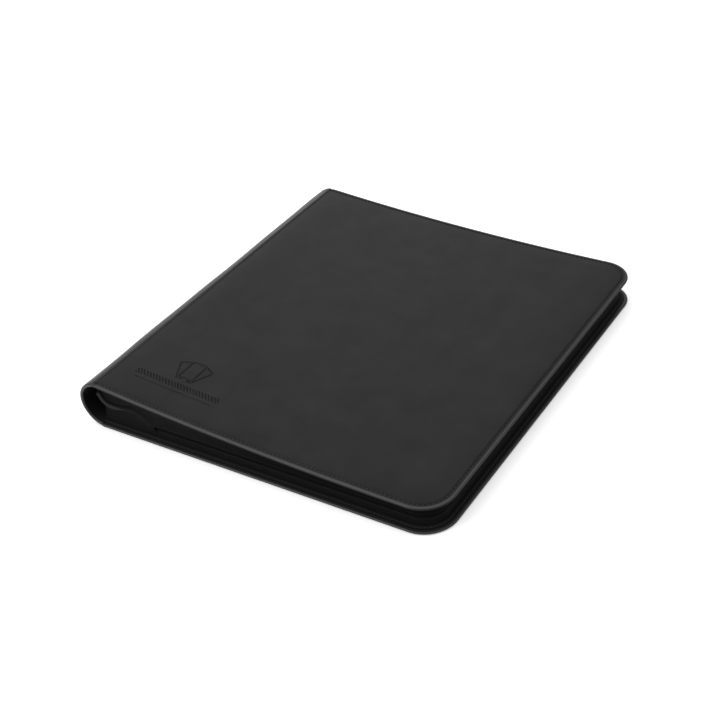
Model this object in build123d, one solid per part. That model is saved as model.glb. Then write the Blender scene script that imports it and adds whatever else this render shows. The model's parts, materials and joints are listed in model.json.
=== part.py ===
from build123d import *
import os
from math import atan2, degrees, sqrt

# Zip-around trading card binder, closed and lying flat with its front cover up.
# +X runs from the spine to the fore-edge, +Y from the bottom to the top edge of the
# page, +Z from the back cover to the front cover. All sizes are in millimetres.
# The origin is on the table, under the middle of the closed binder.

# Covers
COVER_WIDTH = 310.0
COVER_LENGTH = 345.0
CORNER_RADIUS = 26.0
BACK_THICKNESS = 3.0
FRONT_THICKNESS = 3.5
SKIN = 0.9
FLANGE = 0.6
FLANGE_WIDTH = 12.0
PADDING = 0.8

# Front cover's curve: high at the spine, level at the fore-edge
SPINE_HEIGHT = 41.6
FORE_HEIGHT = 24.2

# Spine loop, two arcs that meet at the level of its deepest bulge
SPINE_BULGE = 16.4
BULGE_LEVEL = 21.5
LOOP_TOP = 41.9
LOOP_THICKNESS = 2.2
LOOP_GAP = 0.15
LOOP_LENGTH = COVER_LENGTH - 1.0

# Spine's inner side, measured from the covers' spine edge
LINER_FACES = (0.3, 1.1)
LINER_LEVELS = (3.4, 37.3)
LINER_LENGTH = 324.0
STRIP_FACE = 3.6
STRIP_LEVELS = (3.8, 31.5)

# Leaves
LEAF_COUNT = 20
LEAF_WIDTH = 284.0
LEAF_LENGTH = 300.0
LEAF_HINGE = 4.0
LEAF_FIRST_LEVEL = 4.2
LEAF_SPINE_PITCH = 1.05
LEAF_FORE_PITCH = 0.75
SHEET = 0.24
FILM = 0.1
POCKET_MARGIN = 5.0
FILM_MARGIN = 1.0

# Zipper: the tapes stand between the covers, set in from their edges
TAPE_INSET = 7.6
TAPE = 0.8
TAPE_FACE = TAPE_INSET + TAPE
TAPE_START = 2.0
CHAIN_LEVEL = 10.7
COIL_INSETS = (7.0, 9.0)
COIL_HEIGHT = 0.9
COIL_GAP = 0.8
END_SEAM = 0.2
CHAIN_START_BOTTOM = 54.0
CHAIN_START_TOP = 52.5
END_TAPE_BOTTOM = 53.0
END_TAPE_TOP = 38.0
SCOOP_LEAN = 0.35

# Stops, one at each end of the chain
STOP_LENGTH = 2.5
STOP_THICKNESS = 1.2
STOP_START_BOTTOM = 50.5
STOP_START_TOP = 35.0
STOP_BELOW_CHAIN = (2.6, 0.3)

# Slider and pull tab
SLIDER_CENTRE = 45.0
SLIDER_LENGTH = 12.0
SLIDER_HEIGHT = 6.6
PLATE = 1.0
OUTER_PLATE_INSET = 5.7
INNER_PLATE_INSET = 9.3
SLOT = 1.3
CHANNEL_HEIGHT = 3.2
BRIDGE_LENGTH = 9.0
BRIDGE_WIDTH = 2.0
BRIDGE_BAR = 0.9
BRIDGE_INSET = 3.0
BRIDGE_POST = 1.4
DIVIDER_LENGTH = 3.0
DIVIDER_THICKNESS = 0.5
PIVOT_INSET = 4.8
TAB_THICKNESS = 1.2
TAB_ARM = 5.5
TAB_LENGTH = 24.0
TAB_WIDTH = 7.0
TAB_CORNER = 2.0
EYE_HALF = 2.3
EYE_ARM = 0.9
EYE_OVERLAP = 1.0

# Thread
THREAD = 0.5
THREAD_RISE = 0.25
STITCH_INSET = 4.2
STITCH_LENGTH = 5.0
STITCH_PITCH = 7.5
BINDING_ROWS = (27.5, 30.0)

SPINE_X = -(COVER_WIDTH - SPINE_BULGE) / 2
FORE_X = SPINE_X + COVER_WIDTH
HALF_LENGTH = COVER_LENGTH / 2
CURVE_DROP = SPINE_HEIGHT - FORE_HEIGHT
CURVE_RADIUS = (COVER_WIDTH ** 2 + CURVE_DROP ** 2) / (2 * CURVE_DROP)
CURVE_CENTRE_Z = FORE_HEIGHT + CURVE_RADIUS
TALL = 60.0
OVERHANG = 5.0


def box_between(x, y, z):
    """Box with its low and high corner given by a pair of limits on each axis."""
    size = [limits[1] - limits[0] for limits in (x, y, z)]
    centre = [(limits[0] + limits[1]) / 2 for limits in (x, y, z)]
    return Pos(*centre) * Box(*size)


def outline(inset, spine_edge):
    """Cover outline set in on three sides, with its spine side at spine_edge."""
    right = FORE_X - inset
    left = SPINE_X + spine_edge
    face = Pos((left + right) / 2, 0) * Rectangle(right - left, COVER_LENGTH - 2 * inset)
    corners = face.vertices().sort_by(Axis.X)[-2:]
    return fillet(corners, CORNER_RADIUS - inset)


def slab(face, low, high):
    """A flat outline given thickness between two levels."""
    return extrude(Pos(0, 0, low) * face, high - low)


def curve_height(x, depth):
    """Level of the front cover's curve at x, at a depth below its outer face."""
    radius = CURVE_RADIUS + depth
    return CURVE_CENTRE_Z - sqrt(radius ** 2 - (x - FORE_X) ** 2)


def curve_arc(depth):
    """Arc that follows the front cover's curve from the spine to the fore-edge."""
    ends = (SPINE_X - OVERHANG, FORE_X + OVERHANG)
    middle = sum(ends) / 2
    points = [(x, curve_height(x, depth)) for x in (ends[0], middle, ends[1])]
    return ThreePointArc(*points)


def curved_slab(face, top_depth, bottom_depth):
    """An outline given thickness along the front cover's curve."""
    top = curve_arc(top_depth)
    bottom = curve_arc(bottom_depth)
    spine_side = Line(top @ 0, bottom @ 0)
    fore_side = Line(top @ 1, bottom @ 1)
    section = make_face([top, fore_side, bottom, spine_side])
    band = extrude(Plane.XZ * section, COVER_LENGTH, both=True)
    return band & slab(face, 0, TALL)


def u_shape(outer_inset, inner_inset, spine_edge):
    """Outline of a wall that follows the three zipped sides."""
    return outline(outer_inset, spine_edge) - outline(inner_inset, spine_edge)


def side_end(bottom_reach, top_reach, low, high):
    """Blocks over the two ends of a wall, up to a reach from the spine edge."""
    bottom = box_between((SPINE_X, SPINE_X + bottom_reach), (-HALF_LENGTH, 0), (low, high))
    top = box_between((SPINE_X, SPINE_X + top_reach), (0, HALF_LENGTH), (low, high))
    return bottom + top


def back_cover_skin():
    """Outer sheet, turned up round the board and in over its edge."""
    body = slab(outline(0, 0), 0, BACK_THICKNESS)
    body -= slab(outline(SKIN, SKIN), SKIN, BACK_THICKNESS - FLANGE)
    window = outline(FLANGE_WIDTH, FLANGE_WIDTH)
    return body - slab(window, BACK_THICKNESS - FLANGE, BACK_THICKNESS)


def back_cover_board():
    """Stiff board that fills the back cover's skin."""
    return slab(outline(SKIN, SKIN), SKIN, BACK_THICKNESS - FLANGE)


def back_cover_lining():
    """Inner face of the back cover, inside the turned-in skin."""
    window = outline(FLANGE_WIDTH, FLANGE_WIDTH)
    return slab(window, BACK_THICKNESS - FLANGE, BACK_THICKNESS)


def back_cover_stitching():
    """Row of thread round the three free sides of the back cover's inner face."""
    row = u_shape(STITCH_INSET, STITCH_INSET + THREAD, STITCH_INSET)
    return slab(row, BACK_THICKNESS, BACK_THICKNESS + THREAD_RISE)


def front_cover_skin():
    """Outer sheet, turned down round the board and in under its edge."""
    body = curved_slab(outline(0, 0), 0, FRONT_THICKNESS)
    body -= curved_slab(outline(SKIN, SKIN), SKIN, FRONT_THICKNESS - FLANGE)
    window = outline(FLANGE_WIDTH, FLANGE_WIDTH)
    return body - curved_slab(window, FRONT_THICKNESS - FLANGE, FRONT_THICKNESS)


def front_cover_padding():
    """Thin wadding between the skin and the board."""
    return curved_slab(outline(SKIN, SKIN), SKIN, SKIN + PADDING)


def front_cover_board():
    """Stiff board under the padding, bent along the cover's curve."""
    return curved_slab(outline(SKIN, SKIN), SKIN + PADDING, FRONT_THICKNESS - FLANGE)


def front_cover_lining():
    """Inner face of the front cover, inside the turned-in skin."""
    window = outline(FLANGE_WIDTH, FLANGE_WIDTH)
    return curved_slab(window, FRONT_THICKNESS - FLANGE, FRONT_THICKNESS)


def front_cover_stitching():
    """Row of thread round the three free sides of the front cover's outer face."""
    row = u_shape(STITCH_INSET, STITCH_INSET + THREAD, STITCH_INSET)
    return curved_slab(row, -THREAD_RISE, 0)


def lower_zipper_tape():
    """Wall on the back cover; at its ends it reaches up to the seam with the upper tape."""
    wall = u_shape(TAPE_INSET, TAPE_FACE, TAPE_START)
    chain_side = CHAIN_LEVEL - COIL_GAP / 2 - COIL_HEIGHT
    ends = side_end(END_TAPE_BOTTOM, END_TAPE_TOP, chain_side, CHAIN_LEVEL - END_SEAM / 2)
    tall_wall = slab(wall, BACK_THICKNESS, CHAIN_LEVEL - END_SEAM / 2)
    return slab(wall, BACK_THICKNESS, chain_side) + (tall_wall & ends)


def upper_zipper_tape():
    """Wedge-shaped wall hanging from the front cover, cut away in a curve at the spine."""
    wall = u_shape(TAPE_INSET, TAPE_FACE, TAPE_START)
    hanging = curved_slab(wall, FRONT_THICKNESS, TALL)
    chain_side = CHAIN_LEVEL + COIL_GAP / 2 + COIL_HEIGHT
    ends = side_end(END_TAPE_BOTTOM, END_TAPE_TOP, CHAIN_LEVEL + END_SEAM / 2, chain_side)
    body = (hanging & slab(wall, chain_side, TALL)) + (hanging & ends)
    start = (SPINE_X + TAPE_START - OVERHANG, LINER_LEVELS[1] - OVERHANG)
    finish = (SPINE_X + LEAF_HINGE + 2 * TAPE_FACE, CHAIN_LEVEL - OVERHANG)
    edge = TangentArc(start, finish, tangent=(SCOOP_LEAN, -1))
    corner = (start[0], finish[1])
    scoop = make_face([edge, Line(finish, corner), Line(corner, start)])
    return body - extrude(Plane.XZ * scoop, COVER_LENGTH, both=True)


def zipper_coil(low):
    """Row of moulded elements along one tape, as a plain bar of the same section."""
    bar = slab(u_shape(*COIL_INSETS, TAPE_START), low, low + COIL_HEIGHT)
    return bar - side_end(CHAIN_START_BOTTOM, CHAIN_START_TOP, 0, TALL)


def zipper_stops():
    """Blocks at both ends of the chain, on the outer side of the lower tape."""
    levels = [CHAIN_LEVEL - fall for fall in STOP_BELOW_CHAIN]
    outer = HALF_LENGTH - TAPE_INSET + STOP_THICKNESS
    inner = HALF_LENGTH - TAPE_INSET
    bottom_x = [SPINE_X + STOP_START_BOTTOM, SPINE_X + STOP_START_BOTTOM + STOP_LENGTH]
    top_x = [SPINE_X + STOP_START_TOP, SPINE_X + STOP_START_TOP + STOP_LENGTH]
    return [box_between(bottom_x, (-outer, -inner), levels), box_between(top_x, (inner, outer), levels)]


def arc_section(radius, low, high):
    """Section of one arc of the loop, from the covers' spine edge to its bulge."""
    centre_x = SPINE_X - SPINE_BULGE + radius
    ring = Circle(radius) - Circle(radius - LOOP_THICKNESS)
    left = SPINE_X - SPINE_BULGE - OVERHANG
    right = SPINE_X - LOOP_GAP
    keep = Pos((left + right) / 2, (low + high) / 2) * Rectangle(right - left, high - low)
    return (Pos(centre_x, BULGE_LEVEL) * ring) & keep


def bulge_radius(rise):
    """Radius of an arc upright at the bulge that meets the spine edge after a rise."""
    return (SPINE_BULGE ** 2 + rise ** 2) / (2 * SPINE_BULGE)


def spine_skin():
    """Outer sheet that loops round the spine from one cover to the other."""
    lower = arc_section(bulge_radius(BULGE_LEVEL), -OVERHANG, BULGE_LEVEL)
    upper = arc_section(bulge_radius(LOOP_TOP - BULGE_LEVEL), BULGE_LEVEL, TALL)
    section = lower + upper
    return extrude(Plane.XZ * section, LOOP_LENGTH / 2, both=True)


def spine_liner():
    """Inner sheet that spans straight between the covers."""
    faces = [SPINE_X + face for face in LINER_FACES]
    return box_between(faces, (-LINER_LENGTH / 2, LINER_LENGTH / 2), LINER_LEVELS)


def binding_strip():
    """Strip on the liner that grips the leaves' edges."""
    faces = (SPINE_X + LINER_FACES[1], SPINE_X + STRIP_FACE)
    return box_between(faces, (-LEAF_LENGTH / 2, LEAF_LENGTH / 2), STRIP_LEVELS)


def binding_stitching():
    """Two rows of stitches that hold the strip to the liner."""
    face = SPINE_X + STRIP_FACE
    count = int(LEAF_LENGTH / STITCH_PITCH)
    stitches = []
    for level in BINDING_ROWS:
        for index in range(count):
            middle = (index - (count - 1) / 2) * STITCH_PITCH
            length = (middle - STITCH_LENGTH / 2, middle + STITCH_LENGTH / 2)
            rise = (level - THREAD / 2, level + THREAD / 2)
            stitches.append(box_between((face, face + THREAD_RISE), length, rise))
    return stitches


def leaf_place(index):
    """Hinge point and slope of a leaf in the closed stack."""
    spine_level = LEAF_FIRST_LEVEL + index * LEAF_SPINE_PITCH
    fore_level = LEAF_FIRST_LEVEL + index * LEAF_FORE_PITCH
    slope = degrees(atan2(spine_level - fore_level, LEAF_WIDTH))
    return Pos(SPINE_X + LEAF_HINGE, 0, spine_level) * Rot(0, slope, 0)


def leaf_sheet(index):
    """Black sheet in the middle of one leaf."""
    half = LEAF_LENGTH / 2
    sheet = box_between((0, LEAF_WIDTH), (-half, half), (-SHEET / 2, SHEET / 2))
    return leaf_place(index) * sheet


def leaf_pockets(index):
    """Clear film welded to both sides of the sheet."""
    half = LEAF_LENGTH / 2 - FILM_MARGIN
    span = (POCKET_MARGIN, LEAF_WIDTH - FILM_MARGIN)
    upper = box_between(span, (-half, half), (SHEET / 2, SHEET / 2 + FILM))
    lower = box_between(span, (-half, half), (-SHEET / 2 - FILM, -SHEET / 2))
    return [leaf_place(index) * upper, leaf_place(index) * lower]


def slider_block(x, insets, rise):
    """Block of the slider: x and level are measured from the slider's centre."""
    centre_x = SPINE_X + SLIDER_CENTRE
    y = (HALF_LENGTH - insets[1], HALF_LENGTH - insets[0])
    limits_x = (centre_x + x[0], centre_x + x[1])
    return box_between(limits_x, y, (CHAIN_LEVEL + rise[0], CHAIN_LEVEL + rise[1]))


def zipper_slider():
    """Two plates with lips round the chain, joined by a post, with a bridge outside."""
    ends = (-SLIDER_LENGTH / 2, SLIDER_LENGTH / 2)
    half_height = SLIDER_HEIGHT / 2
    plates = [
        (OUTER_PLATE_INSET, OUTER_PLATE_INSET + PLATE),
        (INNER_PLATE_INSET, INNER_PLATE_INSET + PLATE),
    ]
    middle = TAPE_INSET + TAPE / 2
    lips = [(plates[0][1], middle - SLOT / 2), (middle + SLOT / 2, plates[1][0])]
    body = slider_block(ends, plates[0], (-half_height, half_height))
    body += slider_block(ends, plates[1], (-half_height, half_height))
    for insets in lips:
        body += slider_block(ends, insets, (CHANNEL_HEIGHT / 2, half_height))
        body += slider_block(ends, insets, (-half_height, -CHANNEL_HEIGHT / 2))
    divider = (ends[0], ends[0] + DIVIDER_LENGTH)
    divider_rise = (-DIVIDER_THICKNESS / 2, DIVIDER_THICKNESS / 2)
    body += slider_block(divider, (plates[0][1], plates[1][0]), divider_rise)
    reach = BRIDGE_LENGTH / 2
    width = (-BRIDGE_WIDTH / 2, BRIDGE_WIDTH / 2)
    body += slider_block((-reach, reach), (BRIDGE_INSET, BRIDGE_INSET + BRIDGE_BAR), width)
    for side in ((-reach, -reach + BRIDGE_POST), (reach - BRIDGE_POST, reach)):
        body += slider_block(side, (BRIDGE_INSET, OUTER_PLATE_INSET), width)
    return body


def pull_tab():
    """Flat pull whose eye goes round the slider's bridge."""
    thickness = (PIVOT_INSET - TAB_THICKNESS / 2, PIVOT_INSET + TAB_THICKNESS / 2)
    body = slider_block((TAB_ARM, TAB_ARM + TAB_LENGTH), thickness, (-TAB_WIDTH / 2, TAB_WIDTH / 2))
    body = fillet(body.edges().filter_by(Axis.Y), TAB_CORNER)
    for rise in ((-EYE_HALF, -EYE_HALF + EYE_ARM), (EYE_HALF - EYE_ARM, EYE_HALF)):
        body += slider_block((0, TAB_ARM + EYE_OVERLAP), thickness, rise)
    pivot = Pos(SPINE_X + SLIDER_CENTRE, HALF_LENGTH - PIVOT_INSET, CHAIN_LEVEL)
    return body + pivot * Cylinder(TAB_THICKNESS / 2, 2 * EYE_HALF)


def save(name, solids):
    """Write one sub-part, as one solid or as a group of separate solids."""
    if isinstance(solids, list):
        solids = Compound(children=solids)
    export_step(solids, os.path.join("parts", name + ".step"))


os.makedirs("parts", exist_ok=True)
save("back_cover_skin", back_cover_skin())
save("back_cover_board", back_cover_board())
save("back_cover_lining", back_cover_lining())
save("back_cover_stitching", back_cover_stitching())
save("front_cover_skin", front_cover_skin())
save("front_cover_padding", front_cover_padding())
save("front_cover_board", front_cover_board())
save("front_cover_lining", front_cover_lining())
save("front_cover_stitching", front_cover_stitching())
save("lower_zipper_tape", lower_zipper_tape())
save("upper_zipper_tape", upper_zipper_tape())
save("lower_zipper_coil", zipper_coil(CHAIN_LEVEL - COIL_GAP / 2 - COIL_HEIGHT))
save("upper_zipper_coil", zipper_coil(CHAIN_LEVEL + COIL_GAP / 2))
save("zipper_stops", zipper_stops())
save("zipper_slider", zipper_slider())
save("pull_tab", pull_tab())
save("spine_skin", spine_skin())
save("spine_liner", spine_liner())
save("binding_strip", binding_strip())
save("binding_stitching", binding_stitching())
for leaf in range(LEAF_COUNT):
    save(f"leaf_{leaf + 1:02d}_sheet", leaf_sheet(leaf))
    save(f"leaf_{leaf + 1:02d}_pockets", leaf_pockets(leaf))
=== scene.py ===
import json
from math import acos, asin, copysign, cos, exp, hypot, pi, radians, sin, sqrt

import bmesh
import bpy
from mathutils import Matrix, Vector, noise
from mathutils.geometry import delaunay_2d_cdt


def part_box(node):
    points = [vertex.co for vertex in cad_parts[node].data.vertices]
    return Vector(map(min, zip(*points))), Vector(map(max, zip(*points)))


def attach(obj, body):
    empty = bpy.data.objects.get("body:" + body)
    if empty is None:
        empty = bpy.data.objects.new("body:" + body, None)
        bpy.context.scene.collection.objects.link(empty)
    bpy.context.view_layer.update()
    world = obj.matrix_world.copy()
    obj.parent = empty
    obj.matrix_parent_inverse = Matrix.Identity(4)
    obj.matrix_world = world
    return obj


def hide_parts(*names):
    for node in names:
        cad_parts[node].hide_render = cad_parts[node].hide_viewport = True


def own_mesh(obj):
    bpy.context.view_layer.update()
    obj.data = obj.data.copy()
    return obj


# Looks of the zip-around card binder. All shapes are worked out in millimetres in the
# CAD frame and turned into metres when their mesh is made.

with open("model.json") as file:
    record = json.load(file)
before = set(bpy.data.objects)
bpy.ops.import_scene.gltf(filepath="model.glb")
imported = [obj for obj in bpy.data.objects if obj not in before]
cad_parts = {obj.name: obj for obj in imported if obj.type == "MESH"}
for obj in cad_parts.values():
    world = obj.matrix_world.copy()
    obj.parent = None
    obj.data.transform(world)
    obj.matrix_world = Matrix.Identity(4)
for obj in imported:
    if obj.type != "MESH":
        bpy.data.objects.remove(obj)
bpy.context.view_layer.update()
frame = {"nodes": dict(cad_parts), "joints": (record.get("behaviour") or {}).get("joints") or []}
MM = 0.001


# ---------------- places from the frame

def box_mm(node):
    low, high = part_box(node)
    return low / MM, high / MM


def joint_place(name):
    found = [joint for joint in frame["joints"] if joint["name"] == name][0]
    return Vector(found["pos_m"]) / MM


back_low, back_high = box_mm("back_cover_skin")
front_low, front_high = box_mm("front_cover_skin")
spine_low, spine_high = box_mm("spine_skin")
SPINE_X = back_low.x
FORE_X = back_high.x
HALF = back_high.y
BACK_TOP = back_high.z
COVER_WIDTH = FORE_X - SPINE_X
CORNER_RADIUS = 26.0
FRONT_THICKNESS = 3.5
FLANGE_WIDTH = 12.0
SKIN = 0.9
PADDING = 0.8
FLANGE = 0.6
SPINE_HEIGHT = front_high.z
FORE_HEIGHT = front_low.z + FRONT_THICKNESS
CURVE_DROP = SPINE_HEIGHT - FORE_HEIGHT
CURVE_RADIUS = (COVER_WIDTH ** 2 + CURVE_DROP ** 2) / (2 * CURVE_DROP)
TAPE_INSET = HALF - box_mm("lower_zipper_tape")[1].y
CHAIN_LEVEL = (box_mm("lower_zipper_coil")[1].z + box_mm("upper_zipper_coil")[0].z) / 2
CHAIN_START_BOTTOM = 54.0
CHAIN_START_TOP = 52.5


# ---------------- small helpers

def smooth_step(value, low, high):
    t = min(1.0, max(0.0, (value - low) / (high - low)))
    return t * t * (3 - 2 * t)


def front_arc(x):
    """Level of the front cover's outer face at x, from its spine edge to its fore-edge."""
    reach = min(max(x, SPINE_X - 6), FORE_X) - FORE_X
    return FORE_HEIGHT + CURVE_RADIUS - sqrt(CURVE_RADIUS ** 2 - reach ** 2)


def make_piece(name, shape, material, body, merge=0.0, sharp=None):
    """A mesh from a shape in millimetres, which rides on a body."""
    mesh = bpy.data.meshes.new(name)
    mesh.from_pydata([Vector(point) * MM for point in shape.points], [], shape.faces)
    work = bmesh.new()
    work.from_mesh(mesh)
    if merge:
        bmesh.ops.remove_doubles(work, verts=work.verts, dist=merge * MM)
    bmesh.ops.recalc_face_normals(work, faces=work.faces)
    work.to_mesh(mesh)
    work.free()
    mesh.shade_smooth()
    if sharp:
        mesh.set_sharp_from_angle(angle=radians(sharp))
    mesh.materials.append(material)
    piece = bpy.data.objects.new(name, mesh)
    bpy.context.scene.collection.objects.link(piece)
    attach(piece, body)
    return piece


def paint(piece, material, chosen):
    """Gives a further material to the faces that chosen(face, centre in millimetres) picks."""
    piece.data.materials.append(material)
    for face in piece.data.polygons:
        if chosen(face, face.center / MM):
            face.material_index = len(piece.data.materials) - 1


def add_bevel(piece, width, segments=3):
    modifier = piece.modifiers.new("soft_edges", "BEVEL")
    modifier.width = width * MM
    modifier.segments = segments
    modifier.limit_method = "ANGLE"
    modifier.angle_limit = radians(35)


class Shape:
    """Points and faces of one piece, gathered from several closed parts."""

    def __init__(self):
        self.points = []
        self.faces = []

    def add(self, points, faces):
        first = len(self.points)
        self.points += [tuple(point) for point in points]
        self.faces += [[index + first for index in face] for face in faces]

    def rings(self, rings, closed=True, caps=True):
        """Quads between rings of points; the first and last ring are capped."""
        size = len(rings[0])
        faces = []
        for row in range(len(rings) - 1):
            for column in range(size if closed else size - 1):
                after = (column + 1) % size
                faces.append([row * size + column, row * size + after,
                              (row + 1) * size + after, (row + 1) * size + column])
        if caps:
            last = (len(rings) - 1) * size
            faces.append(list(range(size)))
            faces.append([last + column for column in range(size)])
        self.add([point for ring in rings for point in ring], faces)

    def prism(self, outline, place, low, high):
        """A flat outline given thickness: place turns (u, v, w) into a point."""
        self.rings([[place(u, v, w) for u, v in outline] for w in (low, high)])


def ring_round(centre, first, second, count):
    """Points of an ellipse round a centre, from its two half axes."""
    turns = [2 * pi * step / count for step in range(count)]
    return [centre + first * cos(turn) + second * sin(turn) for turn in turns]


def flat_tube(path, radii, flatness, sides=10):
    """Rings round a path of points, one radius a point, flattened across."""
    rings = []
    for index, point in enumerate(path):
        along = (path[min(index + 1, len(path) - 1)] - path[max(index - 1, 0)]).normalized()
        across = along.cross(Vector((0, 0, 1))).normalized()
        up = across.cross(along)
        rings.append(ring_round(point, across * flatness * radii[index], up * radii[index], sides))
    return rings


# ---------------- materials

def set_inputs(node, values):
    for name, value in values.items():
        node.inputs[name.replace("_", " ")].default_value = value


def new_material(name, roughness, **values):
    """A principled material; every fixed value is set on the shader's own socket."""
    material = bpy.data.materials.new(name)
    material.use_nodes = True
    set_inputs(shader_of(material), {"Roughness": roughness, **values})
    return material


def shader_of(material):
    return material.node_tree.nodes["Principled BSDF"]


def add_node(material, kind, **values):
    node = material.node_tree.nodes.new("ShaderNode" + kind)
    set_inputs(node, values)
    return node


def link(material, source, target):
    material.node_tree.links.new(source, target)


def texture(material, kind, scale, squeeze=(1, 1, 1), **settings):
    """A procedural texture in the piece's own coordinates; gives its grey output."""
    place = add_node(material, "TexCoord")
    mapping = add_node(material, "Mapping", Scale=squeeze)
    made = add_node(material, kind, Scale=scale)
    for key, value in settings.items():
        if key in made.inputs:
            made.inputs[key].default_value = value
        else:
            setattr(made, key, value)
    link(material, place.outputs["Object"], mapping.inputs["Vector"])
    link(material, mapping.outputs["Vector"], made.inputs["Vector"])
    return [output for output in made.outputs if output.name in ("Fac", "Factor", "Distance")][0]


def noise_texture(material, scale, detail, **settings):
    return texture(material, "TexNoise", scale, Detail=detail, **settings)


def colour_from(material, source, low, high):
    """The base colour goes from one colour to another with a texture."""
    node = add_node(material, "ValToRGB")
    for element, position, colour in zip(node.color_ramp.elements, (0.3, 0.7), (low, high)):
        element.position = position
        element.color = (*colour, 1)
    link(material, source, node.inputs["Fac"])
    link(material, node.outputs["Color"], shader_of(material).inputs["Base Color"])


def roughness_from(material, source, low, high):
    node = add_node(material, "MapRange", To_Min=low, To_Max=high)
    link(material, source, node.inputs["Value"])
    link(material, node.outputs["Result"], shader_of(material).inputs["Roughness"])


def bump_chain(material, layers):
    """Bumps on one another: each layer is (source, height in millimetres, strength)."""
    last = None
    for source, height, strength in layers:
        node = add_node(material, "Bump", Distance=height * MM, Strength=strength)
        link(material, source, node.inputs["Height"])
        if last:
            link(material, last, node.inputs["Normal"])
        last = node.outputs["Normal"]
    link(material, last, shader_of(material).inputs["Normal"])


def painted_light_towards(material, axis, start, end, colour):
    """Paints light or shade into a material's colour: blends it into another colour along an axis, from
    start to end in millimetres.
    """
    socket = shader_of(material).inputs["Base Color"]
    place = add_node(material, "TexCoord")
    split = add_node(material, "SeparateXYZ")
    share = add_node(material, "MapRange", From_Min=start * MM, From_Max=end * MM)
    blend = add_node(material, "Mix")
    blend.data_type = "RGBA"
    link(material, place.outputs["Object"], split.inputs["Vector"])
    link(material, split.outputs[axis], share.inputs["Value"])
    link(material, share.outputs["Result"], blend.inputs["Factor"])
    link(material, socket.links[0].from_socket, blend.inputs["A"])
    blend.inputs["B"].default_value = (*colour, 1)
    link(material, blend.outputs["Result"], socket)


def leatherette_material(name, low, high, roughness, wear, gloss):
    """Matte soft-touch leatherette: fine pores, faint mottling, uneven gloss."""
    material = new_material(name, roughness, Specular_IOR_Level=gloss, Sheen_Weight=0.03,
                            Sheen_Roughness=0.45)
    colour_from(material, noise_texture(material, 34, 5.0, Roughness=0.6), low, high)
    roughness_from(material, noise_texture(material, 60, 4.0), roughness - wear, roughness + wear)
    waves = noise_texture(material, 22, 2.0)
    pores = texture(material, "TexVoronoi", 1150, feature="SMOOTH_F1")
    grain = noise_texture(material, 2100, 3.0)
    bump_chain(material, [(waves, 0.35, 0.25), (pores, 0.09, 0.35), (grain, 0.05, 0.3)])
    return material


def woven_material(name, low, high, thread_count, height, gloss=0.12):
    """Plain weave: crossed wave textures, with fuzz."""
    material = new_material(name, 0.85, Specular_IOR_Level=gloss, Sheen_Weight=0.02,
                            Sheen_Roughness=0.6)
    fuzz = noise_texture(material, 900, 4.0)
    colour_from(material, fuzz, grey(low), grey(high))
    threads = [texture(material, "TexWave", thread_count, bands_direction=way, Distortion=0.6)
               for way in "XYZ"]
    bump_chain(material, [(thread, height, 0.5) for thread in threads] + [(fuzz, height, 0.3)])
    return material


def tape_material(name, low, high, gloss=0.07):
    return woven_material(name, low, high, 700, 0.1, gloss)


def thread_material(name, low, high):
    """Twisted sewing thread."""
    material = new_material(name, 0.6, Specular_IOR_Level=0.3, Sheen_Weight=0.04)
    twist = texture(material, "TexWave", 900, bands_direction="DIAGONAL", Distortion=0.2)
    colour_from(material, twist, grey(low), grey(high))
    bump_chain(material, [(twist, 0.08, 0.5)])
    return material


def moulded_material(name, low, high, roughness, scale, metallic=0.0, gloss=0.5):
    """Moulded or painted part: fine orange peel and uneven gloss."""
    material = new_material(name, roughness, Metallic=metallic, Specular_IOR_Level=gloss)
    peel = noise_texture(material, scale, 3.0)
    colour_from(material, peel, grey(low), grey(high))
    roughness_from(material, peel, roughness - 0.08, roughness + 0.08)
    bump_chain(material, [(peel, 0.02, 0.3)])
    return material


def film_material(name, alpha, low, high):
    """Clear pocket film, a little wavy and frosted."""
    material = new_material(name, 0.16, Alpha=alpha, Specular_IOR_Level=0.55, IOR=1.46)
    haze = noise_texture(material, 400, 2.0)
    colour_from(material, haze, low, high)
    roughness_from(material, haze, 0.1, 0.26)
    bump_chain(material, [(noise_texture(material, 26, 3.0), 0.5, 0.35), (haze, 0.02, 0.2)])
    return material


def board_material():
    """Pressed fibres."""
    material = new_material("board_fibre", 0.9)
    fibres = noise_texture(material, 220, 6.0, squeeze=(1, 6, 1))
    colour_from(material, fibres, (0.3, 0.26, 0.2), (0.45, 0.4, 0.33))
    bump_chain(material, [(fibres, 0.1, 0.4)])
    return material


def grey(value):
    return (value, value * 0.985, value * 0.975)


def soft_black(value):
    """The leatherette's dye, a black with a little red in it."""
    return (value * 1.01, value * 0.935, value * 0.965)


LEATHER = leatherette_material("leatherette", soft_black(0.0074), soft_black(0.0117), 0.5, 0.05, 0.105)
RIM = leatherette_material("leatherette_rim", grey(0.0088), grey(0.0115), 0.4, 0.06, 0.41)
# Inside of the spine loop: a near-black copy of the leatherette, painted shade for the hollow. Its
# lower part is painted lighter, as painted light from the floor.
REVERSE_SHADE = leatherette_material("leatherette_reverse_painted_shade", grey(0.0015), grey(0.0025), 0.8, 0.05, 0.05)
painted_light_towards(REVERSE_SHADE, "Z", 20, 3, grey(0.009))
LINING = woven_material("lining_weave", 0.012, 0.02, 520, 0.12)
# Upper tape. Painted shade darkens it towards the fore-edge, where the gap between the covers is
# narrow.
TAPE = tape_material("zipper_tape_upper_painted_shade_weave", 0.0026, 0.0046)
painted_light_towards(TAPE, "X", SPINE_X + 90, SPINE_X + 160, grey(0.0005))
TAPE_LOWER = tape_material("zipper_tape_lower_weave", 0.0028, 0.0046)
# Painted light: a lighter copy of the tape for the lower tape's up-facing flange.
TAPE_FLANGE_LIT = tape_material("zipper_tape_flange_painted_light_weave", 0.009, 0.013, gloss=0.08)
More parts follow.
